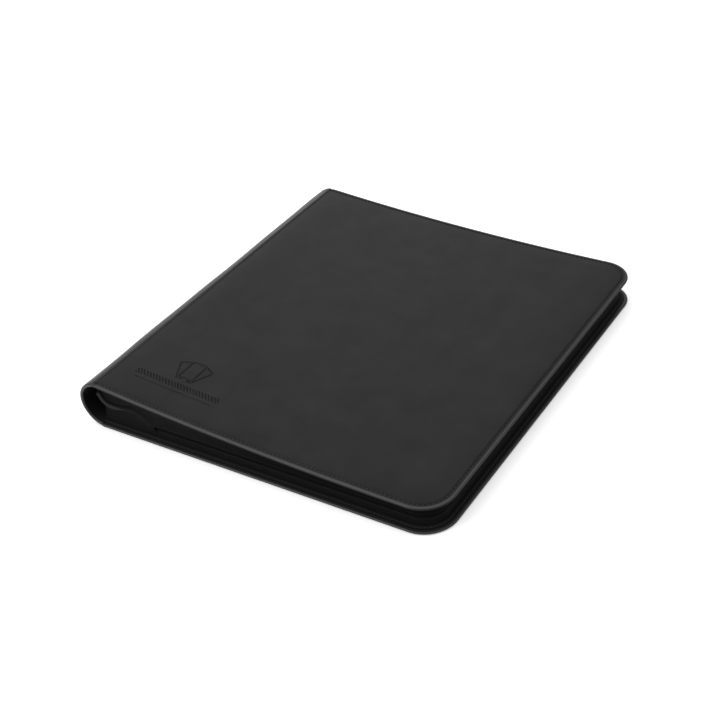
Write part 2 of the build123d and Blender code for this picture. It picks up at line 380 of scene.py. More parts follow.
# Painted shade: a near-black copy of the tape for the upper tape above the crease by the spine, under
# the front cover's overhang. It lightens away from the spine.
TAPE_FOLD_SHADE = tape_material("zipper_tape_fold_painted_shade_weave", 0.0004, 0.0008)
painted_light_towards(TAPE_FOLD_SHADE, "X", SPINE_X + 4, SPINE_X + 40, grey(0.0036))
BINDING = woven_material("binding_tape", 0.013, 0.021, 700, 0.08)
THREAD = thread_material("thread", 0.014, 0.026)
# Painted shade: a darker copy of the thread for the back cover's stitches, for the shade in the gap
# under the front cover.
THREAD_LOWER_SHADED = thread_material("thread_lower_painted_shade", 0.003, 0.006)
COIL = moulded_material("coil_nylon", 0.001, 0.003, 0.7, 900, gloss=0.06)
METAL = moulded_material("black_zipper_metal", 0.012, 0.022, 0.3, 1500, metallic=0.6)
SHEET = moulded_material("leaf_sheet", 0.012, 0.019, 0.5, 1100)
FILM = film_material("film", 0.16, (0.5, 0.52, 0.53), (0.66, 0.68, 0.69))
WELDED_FILM = film_material("film_weld", 0.5, (0.045, 0.046, 0.047), (0.08, 0.081, 0.082))
BOARD = board_material()


# ---------------- cover outlines

SPINE_STEPS = (0.0, 0.5, 1.0, 1.4, 1.7, 1.95, 2.2, 2.45, 2.7, 3.0, 3.5, 4.5, 6.5, 9.0, 12.0)
EDGE_STEP = 4.0
SPINE_LINE_STEP = 6.0
ARC_STEPS = 24
RIM_END = 14.0
GRID_START = 15.0


def side_stations():
    """Places on a cover's three free sides with their way out, from spine corner to spine corner."""
    fore = FORE_X - CORNER_RADIUS
    side = HALF - CORNER_RADIUS
    long_count = round((fore - SPINE_X - SPINE_STEPS[-1]) / EDGE_STEP)
    run = [SPINE_X + step for step in SPINE_STEPS]
    run += [run[-1] + (fore - run[-1]) * (step + 1) / long_count for step in range(long_count)]
    stations = [(Vector((x, -HALF)), Vector((0, -1))) for x in run]
    for side_way, first_angle in ((-1, -90), (1, 0)):
        for step in range(ARC_STEPS + 1):
            angle = radians(first_angle + 90 * step / ARC_STEPS)
            away = Vector((cos(angle), sin(angle)))
            stations.append((Vector((fore, side * side_way)) + away * CORNER_RADIUS, away))
        if side_way < 0:
            count = round(2 * side / EDGE_STEP)
            for step in range(1, count):
                y = -side + 2 * side * step / count
                stations.append((Vector((FORE_X, y)), Vector((1, 0))))
    stations += [(Vector((x, HALF)), Vector((0, 1))) for x in reversed(run)]
    return stations


STATIONS = side_stations()


def side_ring(inset):
    return [place - away * inset for place, away in STATIONS]


def spine_line(inset):
    """Points down a cover's spine edge between the two ends of a ring, without those ends."""
    reach = HALF - inset
    count = round(2 * reach / SPINE_LINE_STEP)
    return [Vector((SPINE_X, reach - 2 * reach * index / count)) for index in range(1, count)]


def filled(boundary, extra):
    """Points and triangles that fill a closed outline, with extra points inside it."""
    kept = []
    for point in boundary:
        if not kept or (point - kept[-1]).length > 0.02:
            kept.append(point)
    result = delaunay_2d_cdt(kept + extra, [], [list(range(len(kept)))], 1, 1e-6)
    return [Vector(point) for point in result[0]], [list(face) for face in result[2]]


def side_distance(x, y):
    """Distance from a point of a cover to its nearest free side."""
    to_fore = FORE_X - x
    to_side = HALF - abs(y)
    if to_fore < CORNER_RADIUS and to_side < CORNER_RADIUS:
        return CORNER_RADIUS - hypot(CORNER_RADIUS - to_fore, CORNER_RADIUS - to_side)
    return min(to_fore, to_side)


def grid_points(inset, step, dense=False, first=GRID_START):
    """Points inside a cover's outline, closer together round the emblem where it is dense."""
    points = []
    left, right = EMBLEM_CENTRE.x - DENSE_REACH, EMBLEM_CENTRE.x + DENSE_REACH
    bottom, top = EMBLEM_CENTRE.y - DENSE_BELOW, EMBLEM_CENTRE.y + DENSE_ABOVE
    for column in range(int((FORE_X - SPINE_X - first) / step) + 1):
        for row in range(int(2 * HALF / step) + 1):
            x = SPINE_X + first + (column + 0.5 * (row % 2)) * step
            y = -HALF + row * step
            near_emblem = dense and left - 1 < x < right + 1 and bottom - 1 < y < top + 1
            if side_distance(x, y) >= inset + step * 0.45 and not near_emblem:
                points.append(Vector((x, y)))
    if dense:
        for column in range(int((right - left) / DENSE_STEP) + 1):
            for row in range(int((top - bottom) / DENSE_STEP) + 1):
                points.append(Vector((left + column * DENSE_STEP, bottom + row * DENSE_STEP)))
    return points


def seam_points(inset):
    """Columns of points along the seam beside the spine."""
    line = spine_line(inset)
    return [Vector((SPINE_X + step, place.y)) for step in SPINE_STEPS[1:] for place in line]


# ---------------- covers

CROWN = 1.0
CROWN_START = 5.0
CROWN_RUN = 9.0
GROOVE_INSET = 4.4
RIM_WIDTH = {"front_cover": 2.3, "back_cover": 2.8}
RIM_TILT = 0.3
SEAM_AT = 1.25
SEAM_WIDTH = 0.7
SEAM_DEPTH = 0.6
SHOULDER = 0.3
EMBLEM_CENTRE = Vector((SPINE_X + 60, -HALF + 53))
EMBLEM_REACH = 28.0
EMBLEM_CARD = (6.6, 10.0)
CARD_CORNER = 2.0
EMBLEM_LINE = 0.95
EMBLEM_DEPTH = 0.8
ROPE_LEVEL = 33.0
ROPE_REACH = 40.0
ROPE_HALF = 2.7
ROPE_PITCH = 3.0
RULE_LEVEL = 26.0
RULE_REACH = 36.5
EMBLEM_FAN = (0, -26, 26)
EMBLEM_PIVOT = 12.0
DENSE_REACH = 42.0
DENSE_BELOW = 31.0
DENSE_ABOVE = 13.0
DENSE_STEP = 0.42
RIM_THICKNESS = 2.2
OUTER_FACE = 1.0  # depths under this belong to a cover's outer face
EDGE_PROFILE = [
    (RIM_END, 0.0), (9.0, 0.0), (7.5, 0.0), (6.4, 0.0), (5.4, 0.1), (4.95, 0.5), (4.4, 0.95),
    (3.85, 0.5), (3.4, 0.1), (2.6, -0.05), (2.2, 0.02), (1.9, 0.12), (1.6, 0.06), (1.1, 0.14),
    (0.5, 0.42), (0.15, 0.78), (0.0, 1.1),
]


def ledge_depth(inset, thickness):
    """How far a cover's inner face is from its outer face: thinner where the skin is turned in."""
    return RIM_THICKNESS + (thickness - RIM_THICKNESS) * smooth_step(inset, 2.5, 6.5)


def puff(inset):
    """Rise of the padding away from the stitched edge."""
    return CROWN * (1 - exp(-max(0.0, inset - CROWN_START) / CROWN_RUN))


def seam(x):
    """Rise and dip where the spine's skin is sewn over a cover."""
    away = x - SPINE_X
    shoulder = SHOULDER * (1 - exp(-max(0.0, away - SEAM_AT) / 2.5))
    return shoulder - SEAM_DEPTH * exp(-((away - SEAM_AT) / SEAM_WIDTH) ** 2)


def card_distance(point, centre, turn):
    """Signed distance from a point to a rounded card outline."""
    angle = radians(turn)
    gap = point - centre
    u = gap.x * cos(angle) + gap.y * sin(angle)
    v = -gap.x * sin(angle) + gap.y * cos(angle)
    du = abs(u) - EMBLEM_CARD[0] + CARD_CORNER
    dv = abs(v) - EMBLEM_CARD[1] + CARD_CORNER
    outside = hypot(max(du, 0), max(dv, 0))
    return outside + min(max(du, dv), 0) - CARD_CORNER


def emblem(x, y):
    """Depth of a plain emblem pressed into the cover: a fan of three blank cards."""
    point = Vector((x, y)) - EMBLEM_CENTRE
    if point.length > EMBLEM_REACH:
        return 0.0
    pressed = 0.0
    hidden = False
    for turn in EMBLEM_FAN:
        angle = radians(turn)
        middle = Vector((-sin(angle), cos(angle) - 1)) * EMBLEM_PIVOT
        gap = card_distance(point, middle, turn)
        if not hidden:
            pressed = max(pressed, 1 - smooth_step(abs(gap), EMBLEM_LINE * 0.5, EMBLEM_LINE * 1.1))
        hidden = hidden or gap < EMBLEM_LINE * 1.5
    return EMBLEM_DEPTH * pressed


def border(x, y):
    """Depth of the plain border under the emblem: a twisted rope over a rule."""
    along = abs(x - EMBLEM_CENTRE.x)
    across = abs(y + HALF - ROPE_LEVEL)
    pressed = 0.0
    if along < ROPE_REACH and across < ROPE_HALF:
        slant = (x + 0.8 * (y + HALF)) % ROPE_PITCH
        pressed = 1 - smooth_step(min(slant, ROPE_PITCH - slant), 0.25, 0.7)
    if along < RULE_REACH:
        gap = abs(y + HALF - RULE_LEVEL)
        pressed = max(pressed, 1 - smooth_step(gap, 0.4, 0.9))
    return EMBLEM_DEPTH * pressed


def cover_shell(name, thickness, level, outer_fill, inner_fill):
    """A padded cover's skin: one closed shell with rolled edges and a sewn groove."""
    profile = EDGE_PROFILE + [(inset, ledge_depth(inset, thickness) - depth)
                              for inset, depth in reversed(EDGE_PROFILE[:-1])]
    shape = Shape()
    rings = [[level(p.x, p.y, depth, inset) for p in side_ring(inset)] for inset, depth in profile]
    shape.rings(rings, closed=False, caps=False)
    size = len(STATIONS)
    for station in (0, size - 1):
        shape.faces.append([row * size + station for row in range(len(profile))])
    line = spine_line(RIM_END)
    boundary = side_ring(RIM_END) + line

    def inside(point, depth):
        return level(point.x, point.y, depth, max(RIM_END, side_distance(point.x, point.y)))

    for fill, depth in ((outer_fill, 0.0), (inner_fill, thickness)):
        flat, faces = filled(boundary, seam_points(RIM_END) + fill)
        shape.add([inside(point, depth) for point in flat], faces)
    ends = [boundary[len(STATIONS) - 1]] + line + [boundary[0]]
    wall = [[inside(point, depth) for point in ends] for depth in (0.0, thickness)]
    shape.rings(wall, closed=False, caps=False)
    shell = make_piece(name, shape, LEATHER, name, merge=0.01, sharp=55)

    def on_rim(face, centre):
        near_edge = side_distance(centre.x, centre.y) < RIM_WIDTH[name] or centre.x < SPINE_X + 0.5
        return near_edge and face.normal.z > RIM_TILT

    paint(shell, RIM, on_rim)
    return shell


def front_level(x, y, depth, inset):
    level = front_arc(x) - depth
    if depth < OUTER_FACE:
        away = x - SPINE_X
        level += puff(inset) * (1 - exp(-max(0.0, away - 3) / 7)) + seam(x)
        if depth == 0.0 and inset >= RIM_END:
            level -= max(emblem(x, y), border(x, y))
    return (x, y, level)


def back_level(x, y, depth, inset):
    if depth < OUTER_FACE and x < SPINE_X + 5:
        depth += 0.15 - seam(x)
    return (x, y, max(0.0, depth))


def panel(name, material, body, profile, level):
    """A sheet or board inside a cover: its profile gives insets and depths from its first face."""
    shape = Shape()
    rings = []
    for inset, depth in profile:
        ring = [Vector((max(p.x, SPINE_X + inset), p.y)) for p in side_ring(inset)]
        ring += [Vector((SPINE_X + inset, p.y)) for p in spine_line(inset)]
        rings.append([level(p.x, p.y, depth) for p in ring])
    shape.rings(rings, caps=False)
    for (inset, depth), ring in ((profile[0], rings[0]), (profile[-1], rings[-1])):
        flat, faces = filled([Vector(p[:2]) for p in ring], grid_points(inset, 8.0, first=inset + 4))
        shape.add([level(p.x, p.y, depth) for p in flat], faces)
    return make_piece(name, shape, material, body, merge=0.01)


def build_covers():
    front = cover_shell("front_cover", FRONT_THICKNESS, front_level,
                        grid_points(RIM_END, 4.5, dense=True), grid_points(RIM_END, 9.0))
    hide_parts("front_cover_skin", "front_cover_padding")
    back = cover_shell("back_cover", BACK_TOP, back_level,
                       grid_points(RIM_END, 12.0), grid_points(RIM_END, 12.0))
    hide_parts("back_cover_skin")

    sides = (("front", FRONT_THICKNESS, lambda x, y, depth: (x, y, front_arc(x) - depth)),
             ("back", BACK_TOP, lambda x, y, depth: (x, y, depth)))
    for side, thickness, level in sides:
        body = side + "_cover"
        low = SKIN + (PADDING if side == "front" else 0)
        high = thickness - FLANGE
        edge = FLANGE_WIDTH
        board_profile = [(5.2, low), (4.8, low + 0.2), (4.8, high - 0.2), (5.2, high)]
        board = panel(side + "_board", BOARD, body, board_profile, level)
        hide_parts(body + "_board")
        lining_profile = [(edge + 0.2, thickness - 0.3), (edge, thickness),
                          (edge + 0.15, thickness + 0.16), (edge + 0.5, thickness + 0.22)]
        lining = panel(side + "_lining", LINING, body, lining_profile, level)
        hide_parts(body + "_lining")


# ---------------- thread

TAPE_THICKNESS = 0.6
STITCH_PITCH = 3.65
STITCH_LENGTH = 2.2
STITCH_RADIUS = 0.34
STITCH_BOW = 0.3
STITCH_SIDES = 8
STITCH_START = 6.5
STITCH_SUNK = 0.12
STITCH_UNDER = 0.34
STITCH_PROFILE = [(-1.0, 0.3), (-0.82, 0.8), (-0.4, 1.0), (0.4, 1.0), (0.82, 0.8), (1.0, 0.3)]


def u_path(inset, start_bottom, start_top, step):
    """Points along the three zipped sides at an inset, from the lower spine corner."""
    fore = FORE_X - CORNER_RADIUS
    side = HALF - CORNER_RADIUS
    radius = CORNER_RADIUS - inset
    legs = (fore - SPINE_X - start_bottom, pi * radius / 2, 2 * side,
            pi * radius / 2, fore - SPINE_X - start_top)
    total = sum(legs)
    count = round(total / step)
    path = []
    for index in range(count + 1):
        at = total * index / count
        leg = 0
        while leg < 4 and at > legs[leg]:
            at -= legs[leg]
            leg += 1
        if leg == 0:
            place, away = Vector((SPINE_X + start_bottom + at, -HALF + inset)), Vector((0, -1))
        elif leg == 2:
            place, away = Vector((FORE_X - inset, -side + at)), Vector((1, 0))
        elif leg == 4:
            place, away = Vector((fore - at, HALF - inset)), Vector((0, 1))
        else:
            angle = at / radius + (0 if leg == 3 else -pi / 2)
            away = Vector((cos(angle), sin(angle)))
            place = Vector((fore, side if leg == 3 else -side)) + away * radius
        path.append((place, away))
    return path


def stitch_row(name, centres, body, node, material=THREAD):
    """Separate stitches: each centre has its place, its way along and its way up."""
    shape = Shape()
    for place, along, up in centres:
        side = along.cross(up).normalized()
        rings = []
        for offset, scale in STITCH_PROFILE:
            middle = place + along * offset * STITCH_LENGTH / 2 - up * STITCH_BOW * offset * offset
            radius = STITCH_RADIUS * scale
            rings.append(ring_round(middle, side * radius, up * radius, STITCH_SIDES))
        shape.rings(rings)
    piece = make_piece(name, shape, material, body)
    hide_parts(node)


def edge_stitches(level, up):
    """Stitches round a cover at a level that is a function of x, with up 1 or -1."""
    centres = []
    for place, away in u_path(GROOVE_INSET, STITCH_START, STITCH_START, STITCH_PITCH):
        along = Vector((-away.y, away.x, 0))
        along.z = (level(place.x + along.x) - level(place.x - along.x)) / 2
        centre = Vector((place.x, place.y, level(place.x)))
        centres.append((centre, along.normalized(), Vector((0, 0, up))))
    return centres


def build_stitches():
    inner = ledge_depth(GROOVE_INSET, FRONT_THICKNESS) + TAPE_THICKNESS - STITCH_SUNK
    rows = edge_stitches(lambda x: front_arc(x) - STITCH_SUNK, 1)
    rows += edge_stitches(lambda x: front_arc(x) - inner, -1)
    stitch_row("front_cover_stitches", rows, "front_cover", "front_cover_stitching")
    inner = ledge_depth(GROOVE_INSET, BACK_TOP) + TAPE_THICKNESS - STITCH_SUNK
    rows = edge_stitches(lambda x: inner, 1)
    rows += edge_stitches(lambda x: STITCH_UNDER, -1)
    # The back cover's stitches take the thread with painted shade.
    stitch_row("back_cover_stitches", rows, "back_cover", "back_cover_stitching", THREAD_LOWER_SHADED)


# ---------------- spine

LOOP = 2.9
LOOP_LEVEL = 21.5
LOOP_TOP = spine_high.z + 0.05
LOOP_SHOULDER = 38.0
LOOP_LAP = 0.9
LOOP_ROLL = ((0.0, 0.35), (0.25, 0.68), (0.6, 0.9), (LOOP / 2, 1.0))
LOOP_ROWS = 60
BULGE = SPINE_X - spine_low.x + 1.5
LOOP_STEPS = 18
ROLL_ANGLES = (60, 30, 0, -30, -60)


def loop_section():
    """Middle line of the loop from the back cover to the front cover, with its normals."""
    line = []
    for rise, signs, lap in ((LOOP_LEVEL, -1, LOOP_LAP), (LOOP_TOP - LOOP_LEVEL, 1, 0.0)):
        radius = (BULGE ** 2 + rise ** 2) / (2 * BULGE)
        centre = SPINE_X - BULGE + radius
        middle = radius - LOOP / 2
        reach = acos((centre - SPINE_X + lap) / middle)
        for step in range(LOOP_STEPS + 1):
            turn = reach * step / LOOP_STEPS
            normal = Vector((-cos(turn), 0, signs * sin(turn)))
            line.append((Vector((centre, 0, LOOP_LEVEL)) + normal * middle, normal))
        if signs < 0:
            line.reverse()
            line.pop()
    return line


def loop_wave(y, height):
    """Gentle unevenness of the soft loop."""
    return 0.35 * sin(y / 31 + 0.6) * cos(height * 1.3) + 0.2 * sin(y / 13.0 + height)


def rolled_end(outer, under, way, normal, half, angles):
    """Points round the end of the loop's section, between its outer and its under side."""
    middle = (outer + under) / 2
    turns = [radians(angle) for angle in angles]
    return [middle + (way * cos(turn) + normal * sin(turn)) * half for turn in turns]


def spine_loop():
    line = loop_section()
    length = (spine_high.y - spine_low.y) / 2
    stations = [(offset - length, scale) for offset, scale in LOOP_ROLL]
    first_row = stations[-1][0]
    stations += [(first_row * (1 - 2 * (step + 1) / (LOOP_ROWS + 1)), 1.0) for step in range(LOOP_ROWS)]
    stations += [(-y, scale) for y, scale in reversed(stations[:len(LOOP_ROLL)])]
    start_way = (line[0][0] - line[1][0]).normalized()
    end_way = (line[-1][0] - line[-2][0]).normalized() * 0.15
    rings = []
    for y, scale in stations:
        outer, under = [], []
        half = LOOP / 2 * scale
        for index, (place, normal) in enumerate(line):
            share = index / (len(line) - 1)
            wave = loop_wave(y, share * 3) * sin(pi * share)
            middle = Vector((place.x, y, place.z)) + normal * wave
            outer.append(middle + normal * half)
            under.append(middle - normal * half)
        ring = outer + rolled_end(outer[-1], under[-1], end_way, line[-1][1], half, ROLL_ANGLES)
        ring += under[::-1]
        ring += rolled_end(outer[0], under[0], start_way, line[0][1], half, ROLL_ANGLES[::-1])
        rings.append(ring)
    shape = Shape()
    shape.rings(rings, caps=False)
    count = len(line)
    rolled = len(ROLL_ANGLES)
    for first in (0, (len(rings) - 1) * len(rings[0])):
        inner_first = first + count + rolled
        for index in range(count - 1):
            shape.faces.append([first + index, first + index + 1,
                                inner_first + count - 2 - index, inner_first + count - 1 - index])
        shape.faces.append([first + count - 1 + step for step in range(rolled + 2)])
        shape.faces.append([inner_first + count - 1 + step for step in range(rolled + 1)] + [first])
    piece = make_piece("spine_loop", shape, LEATHER, "spine")

    # Faces on the inside of the loop; they get the painted shade of the hollow.
    def on_shaded_reverse(face, centre):
        return face.normal.x * (centre.x - SPINE_X - 4) + face.normal.z * (centre.z - LOOP_LEVEL) < 0

    def on_edge(face, centre):
        return abs(centre.y) > length - LOOP_ROLL[-1][0] - 0.15 or centre.z > LOOP_SHOULDER

    paint(piece, REVERSE_SHADE, on_shaded_reverse)
    paint(piece, RIM, on_edge)
    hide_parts("spine_skin")
    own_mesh(piece)


def rounded_bar(low, high, radius, segments=4):
    """Outline of a rectangle with rounded corners."""
    points = []
    left, right = low[0] + radius, high[0] - radius
    bottom, top = low[1] + radius, high[1] - radius
    for x, y, first in ((right, top, 0), (left, top, 90), (left, bottom, 180), (right, bottom, 270)):
        for step in range(segments + 1):
            angle = radians(first + 90 * step / segments)
            points.append((x + radius * cos(angle), y + radius * sin(angle)))
    return points


def spine_inside():
    """Fabric liner, and the ribbed strip whose grooves take the leaves."""
    low, high = box_mm("spine_liner")
    shape = Shape()
    outline = rounded_bar((low.y, low.z), (high.y, high.z), 3.0)
    shape.prism(outline, lambda u, v, w: (w, u, v), low.x, high.x)
    liner = make_piece("spine_liner_fabric", shape, LINING, "spine", sharp=40)
    add_bevel(liner, 0.25)
    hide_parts("spine_liner")

    low, high = box_mm("binding_strip")
    levels = [joint_place(f"leaf_{leaf:02d}_turn").z for leaf in range(1, LEAVES + 1)]
    top = levels[-1] + 0.5
    section = [(low.x, low.z + 0.2), (high.x - 0.3, low.z + 0.05)]
    for level in levels:
        section += [(high.x - 0.1, level - 0.36), (high.x - 0.55, level - 0.14),
                    (high.x - 0.55, level + 0.14), (high.x - 0.1, level + 0.36)]
    section += [(high.x, top + 0.4), (high.x, high.z - 0.5), (high.x - 0.5, high.z), (low.x, high.z)]
    shape = Shape()
    stations = (low.y, low.y + 0.4, high.y - 0.4, high.y)
    shape.rings([[(x, y, z) for x, z in section] for y in stations])
    strip = make_piece("leaf_binding_strip", shape, LEATHER, "spine", sharp=35)
    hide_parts("binding_strip")

    rows = box_mm("binding_stitching")
    centres = []
    for z in (rows[0].z + 0.25, rows[1].z - 0.25):
        count = int((rows[1].y - rows[0].y) / STITCH_PITCH)
        for index in range(count):
            y = rows[0].y + 2 + index * STITCH_PITCH
            centres.append((Vector((high.x + 0.1, y, z)), Vector((0, 1, 0)), Vector((1, 0, 0))))
    stitch_row("binding_stitches", centres, "spine", "binding_stitching")


# ---------------- zipper

TOOTH_PITCH = 1.5
CHAIN_OUT = TAPE_INSET + 0.4
SPINE_SIDE = 12.0
SPINE_SIDE_ROWS = 22
TAPE_STEP = 3.0


def tape_strip(name, path, section, material, body, node):
    """A tape as a closed strip: section gives its middle line as (inset, level) pairs."""
    shape = Shape()
    rings = []
    for place, away in path:
        line = [Vector(pair) for pair in section(place)]
        outer, under = [], []
        for index, pair in enumerate(line):
            along = (line[min(index + 1, len(line) - 1)] - line[max(index - 1, 0)]).normalized()
            normal = Vector((-along.y, along.x)) * TAPE_THICKNESS / 2
            for side, way in ((outer, 1), (under, -1)):
                inset, level = pair + normal * way
                point = place + away * (TAPE_INSET - inset)
                side.append((point.x, point.y, level))
        rings.append(outer + under[::-1])
    shape.rings(rings)
    piece = make_piece(name, shape, material, body, sharp=50)
    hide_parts(node)
    return piece


def spread_path(start):
    """Path of the tapes, with close points near the spine where they are shaped."""
    shares = [row / SPINE_SIDE_ROWS for row in range(SPINE_SIDE_ROWS)]
    ends = [SPINE_X + start + (SPINE_SIDE - start) * share for share in shares]
    front = [(Vector((x, -HALF + TAPE_INSET)), Vector((0, -1))) for x in ends]
    back = [(Vector((x, HALF - TAPE_INSET)), Vector((0, 1))) for x in reversed(ends)]
    return front + u_path(TAPE_INSET, SPINE_SIDE, SPINE_SIDE, TAPE_STEP) + back


def chain_half(place):
    """Half of the gap between the tapes: open where the teeth are, closed at the ends."""
    along = place.x - SPINE_X
    start = CHAIN_START_BOTTOM if place.y < 0 else CHAIN_START_TOP - 14
    return 0.12 + 0.9 * smooth_step(along, start - 1.2, start + 0.6)


TUCK_LEVEL = 17.2
CORD_RISE = 0.22  # bead woven into a tape's edge beside the teeth
LOWER_ROWS = 11
UPPER_ROWS = 30
# How far in from the edge the lower tape's flange gets its painted light.
LIT_FLANGE_REACH = 5.7
FLANGE_LINE = ((3.8, 0.0), (4.4, 0.0), (5.6, 0.0), (6.6, 0.03), (7.2, 0.2), (7.6, 0.7))
CREASE_DEPTH = 1.7
# How far from the spine the upper tape above the crease gets its painted shade.
FOLD_SHADE_REACH = 56.0
PLEAT_DEPTH = 1.0
RIPPLE_DEPTH = 0.35
SAG_SHARE = 0.06
LOWER_START = -0.6
UPPER_START = -2.4
HEM_FLATNESS = 0.42
HEM_START = -1.9
HEM_LENGTH = 36.0
HEM_STEPS = 60


def spine_share(along):
    """How far a place on a tape belongs to the folded part beside the spine."""
    return smooth_step(52 - along, 0, 22)


def lower_section(place):
    """The lower tape lies on the back cover's ledge, then stands up to the chain."""
    folded = spine_share(place.x - SPINE_X)
    top = (CHAIN_LEVEL - chain_half(place) - 0.2) * (1 - folded) + TUCK_LEVEL * folded
    line = [(inset, ledge_depth(inset, BACK_TOP) + TAPE_THICKNESS / 2 + rise)
            for inset, rise in FLANGE_LINE]
    foot = line[-1][1]
    for row in range(1, LOWER_ROWS + 1):
        share = row / LOWER_ROWS
        cord = CORD_RISE * exp(-((share - 0.86) / 0.09) ** 2) * (1 - folded)
        sag = 0.5 * sin(pi * share)
        tuck = 1.5 * folded * share
        line.append((TAPE_INSET + 0.15 * share - cord + sag + tuck, foot + (top - foot) * share))
    return line


def upper_edge(along):
    """Lower edge of the upper tape's folded end, which sweeps up at the spine."""
    return 16.9 + 11.0 * exp(-(along + 1.9) / 3.6) + 0.06 * max(0.0, along - 8)


def crease_level(along):
    """Level of the crease above the folded end of the upper tape."""
    return 21.7 + 10 * exp(-(along + 1) / 1.8) + 0.008 * max(0.0, along - 12) ** 2


def upper_section(place):
    """The upper tape hangs from the front cover's inner face down to the chain."""
    along = place.x - SPINE_X
    roof = front_arc(place.x)
    folded = spine_share(along)
    line = [(inset, roof - ledge_depth(inset, FRONT_THICKNESS) - TAPE_THICKNESS / 2 - rise)
            for inset, rise in FLANGE_LINE]
    head = line[-1][1]
    chain_side = CHAIN_LEVEL + chain_half(place) + 0.2
    foot = min(head - 0.5, chain_side * (1 - folded) + upper_edge(along) * folded)
    creased = CREASE_DEPTH * smooth_step(44 - along, 0, 20)
    rippled = RIPPLE_DEPTH * smooth_step(120 - along, 0, 90)
    for row in range(1, UPPER_ROWS + 1):
        share = row / UPPER_ROWS
        level = head + (foot - head) * share
        cord = CORD_RISE * exp(-((level - foot) - 1.2) ** 2) * (1 - folded)
        sag = SAG_SHARE * (head - foot) * sin(pi * share) ** 2 * (1 - folded)
        crease = creased * exp(-((level - crease_level(along)) / 0.8) ** 2)
        pleat = PLEAT_DEPTH * folded * exp(-((level - foot - 3.0) / 2.4) ** 2)
        ripple = rippled * noise.noise(Vector((place.x / 26, place.y / 60, level / 9)))
        shaped = (sag + crease + ripple - pleat) * smooth_step(share, 0, 0.12)
        line.append((TAPE_INSET + 0.1 - cord + shaped, level))
    return line


def build_hems():
    """Bound edges of the upper tape's two folded ends, thinning out along the tape."""
    hem = Shape()
    for side in (-1, 1):
        path, radii = [], []
        for step in range(HEM_STEPS):
            along = HEM_START + HEM_LENGTH * (step / (HEM_STEPS - 1)) ** 1.7
            roof = front_arc(SPINE_X + along) - FRONT_THICKNESS
            inset = TAPE_INSET - 1.35 + 1.3 * smooth_step(along, 12, 34)
            level = min(upper_edge(along) + 1.5, roof - 1.0)
            path.append(Vector((SPINE_X + along, side * (HALF - inset), level)))
            radii.append(2.2 - 1.95 * smooth_step(along, 6, 30))
        hem.rings(flat_tube(path, radii, HEM_FLATNESS))
    make_piece("zipper_tape_hems", hem, BINDING, "front_cover")


def build_tapes():
    def on_lit_flange(face, centre):
        return side_distance(centre.x, centre.y) < LIT_FLANGE_REACH

    def shaded_over_crease(face, centre):
        along = centre.x - SPINE_X
        return along < FOLD_SHADE_REACH and centre.z > crease_level(along)

    lower = tape_strip("zipper_tape_lower", spread_path(LOWER_START), lower_section, TAPE_LOWER,
                       "back_cover", "lower_zipper_tape")
    # Painted light on the lower tape's flange.
    paint(lower, TAPE_FLANGE_LIT, on_lit_flange)
    upper = tape_strip("zipper_tape_upper", spread_path(UPPER_START), upper_section, TAPE,
                       "front_cover", "upper_zipper_tape")
    # Painted shade on the upper tape above the crease, near the spine.
    paint(upper, TAPE_FOLD_SHADE, shaded_over_crease)


TOOTH_PROFILE = [(-1.55, 0.5, 0.62), (-0.9, 0.5, 0.7), (-0.2, 0.42, 0.62), (0.25, 0.62, 0.78),
                 (0.62, 0.6, 0.7), (0.85, 0.3, 0.4)]
TOOTH_TURNS = [radians(angle) for angle in (22, 68, 112, 158, 202, 248, 292, 338)]
TOOTH_GROWTH = 1.08


def chain_row(name, shift, way, body, node):
    """Moulded elements of one side of the chain; way is 1 for the lower side."""
    shape = Shape()
    last_start = CHAIN_START_TOP + 0.4 + TOOTH_PITCH - shift
    for place, away in u_path(CHAIN_OUT, CHAIN_START_BOTTOM + shift, last_start, TOOTH_PITCH):
        along = Vector((-away.y, away.x, 0))
        out = away.to_3d()
        rings = []
        for rise, half_along, half_out in TOOTH_PROFILE:
            centre = Vector((place.x, place.y, CHAIN_LEVEL + way * (rise - 0.05)))
            rings.append([centre + (along * cos(turn) * half_along + out * sin(turn) * half_out)
                          * TOOTH_GROWTH for turn in TOOTH_TURNS])
        shape.rings(rings)
    piece = make_piece(name, shape, COIL, body, sharp=60)
    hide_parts(node)


def zip_place(u, v, w):
    """Slider coordinates: u along the chain, v up, w outwards from the tape's middle."""
    return (joint_place("pull_swing").x + u, HALF - CHAIN_OUT + w, CHAIN_LEVEL + v)


def slider_outline(shrink):
    """Shield outline: narrow over the closed chain, wide at the mouth."""
    points = []
    for step in range(33):
        share = step / 32
        u = SLIDER_HALF * (1 - 2 * share)
        width = 2.55 + 0.75 * smooth_step(share, 0.2, 0.75)
        ends = sqrt(max(0.0, 1 - (abs(2 * share - 1)) ** 8))
        points.append((u * (1 - shrink / (2 * SLIDER_HALF)), (width - shrink) * max(ends, 0.55)))
    return points + [(u, -v) for u, v in reversed(points)]


SLIDER_HALF = 6.0
LIP_INNER = 1.0
LIP_OUTER = 1.35
LIP_LINE = ((5.6, 1.75, 2.3), (1.0, 1.8, 2.5), (-2.5, 1.9, 3.0), (-5.6, 1.9, 2.9))
PLATE_LINE = ((1.3, 0.0), (2.0, 0.0), (2.3, 0.5))
POST = ((-5.8, -0.24), (-3.2, -0.1), (-2.8, 0.0), (-3.2, 0.1), (-5.8, 0.24))
ARCH_HALF = 0.85


